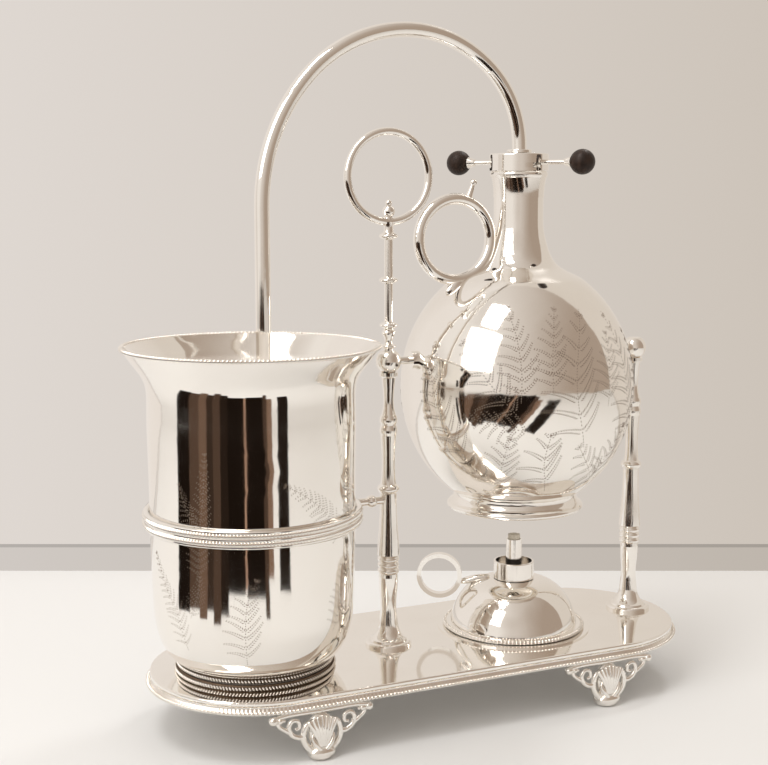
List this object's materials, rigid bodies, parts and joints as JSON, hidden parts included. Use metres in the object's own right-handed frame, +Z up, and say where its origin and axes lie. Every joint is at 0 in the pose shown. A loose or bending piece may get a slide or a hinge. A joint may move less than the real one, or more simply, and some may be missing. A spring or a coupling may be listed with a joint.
{
  "type": "siphon coffee maker",
  "caption": "Silver plated siphon coffee maker on a beaded oval tray: beaker in a hoop, round flask hung on columns, arched tube with bayonet cap, spirit lamp.",
  "frame": {"origin": "middle of the whole object's box, on the floor under its feet", "axes": "+X from the beaker to the flask, +Y to the back, +Z up"},
  "size_m": [0.3312, 0.137, 0.3766],
  "materials": {
    "silver_plate": "polished silver plate with fine wear",
    "ebony": "dark turned wood, satin",
    "cork": "natural cork",
    "cotton": "woven cotton",
    "steel": "plain steel fixings"
  },
  "bodies": {
    "stand": {"tray_plate": "silver_plate", "tray_border": "silver_plate", "tray_beading": "silver_plate", "foot_front_left": "silver_plate", "foot_front_right": "silver_plate", "foot_back_left": "silver_plate", "foot_back_right": "silver_plate", "foot_screws": "steel", "left_column": "silver_plate", "right_column": "silver_plate", "column_nuts": "steel", "left_ball_knop": "silver_plate", "right_ball_knop": "silver_plate", "upper_stem": "silver_plate", "carrying_ring": "silver_plate", "finial": "silver_plate", "hoop": "silver_plate", "hoop_arm": "silver_plate", "beaker_gallery": "silver_plate", "lamp_seat": "silver_plate"},
    "beaker_body": {"beaker": "silver_plate", "beaker_base": "silver_plate", "beaker_rim_bead": "silver_plate", "beaker_foot_ring": "silver_plate"},
    "flask": {"flask_globe": "silver_plate", "neck_tube": "silver_plate", "flask_foot_ring": "silver_plate", "neck_flange": "silver_plate", "bayonet_pins": "silver_plate", "left_trunnion": "silver_plate", "right_trunnion": "silver_plate", "flask_handle_ring": "silver_plate", "handle_thumbpiece": "silver_plate", "handle_tail": "silver_plate"},
    "siphon": {"siphon_tube": "silver_plate", "tube_flange": "silver_plate", "cork": "cork", "filter_head": "silver_plate", "filter_cloth": "cotton", "filter_plate": "silver_plate"},
    "cap": {"bayonet_cap": "silver_plate", "front_arm": "silver_plate", "back_arm": "silver_plate", "front_ferrule": "silver_plate", "back_ferrule": "silver_plate", "front_knob": "ebony", "back_knob": "ebony"},
    "lamp": {"lamp_base": "silver_plate", "lamp_rim_bead": "silver_plate", "lamp_reservoir": "silver_plate", "lamp_finger_ring": "silver_plate", "lamp_ring_tail": "silver_plate"},
    "burner": {"burner_collar": "silver_plate", "wick_tube": "silver_plate", "wick": "cotton"}
  },
  "joints": [
    {"name": "beaker_turn", "type": "hinge", "parent": "stand", "child": "beaker_body", "pos_m": [-0.09713, 0, 0.12], "axis": [0, 0, 1], "continuous": true},
    {"name": "flask_tilt", "type": "hinge", "parent": "stand", "child": "flask", "pos_m": [0.06327, 0, 0.1945], "axis": [1, 0, 0], "range_deg": [-8, 8]},
    {"name": "siphon_lift", "type": "slide", "parent": "flask", "child": "siphon", "axis": [0, 0, 1], "range_m": [0, 0.18]},
    {"name": "cap_turn", "type": "hinge", "parent": "siphon", "child": "cap", "pos_m": [0.06327, 0, 0.3], "axis": [0, 0, 1], "range_deg": [0, 28]},
    {"name": "lamp_draw", "type": "slide", "parent": "stand", "child": "lamp", "axis": [0, -1, 0], "range_m": [0, 0.14]},
    {"name": "burner_lift", "type": "slide", "parent": "lamp", "child": "burner", "axis": [0, 0, 1], "range_m": [0, 0.012]}
  ]
}
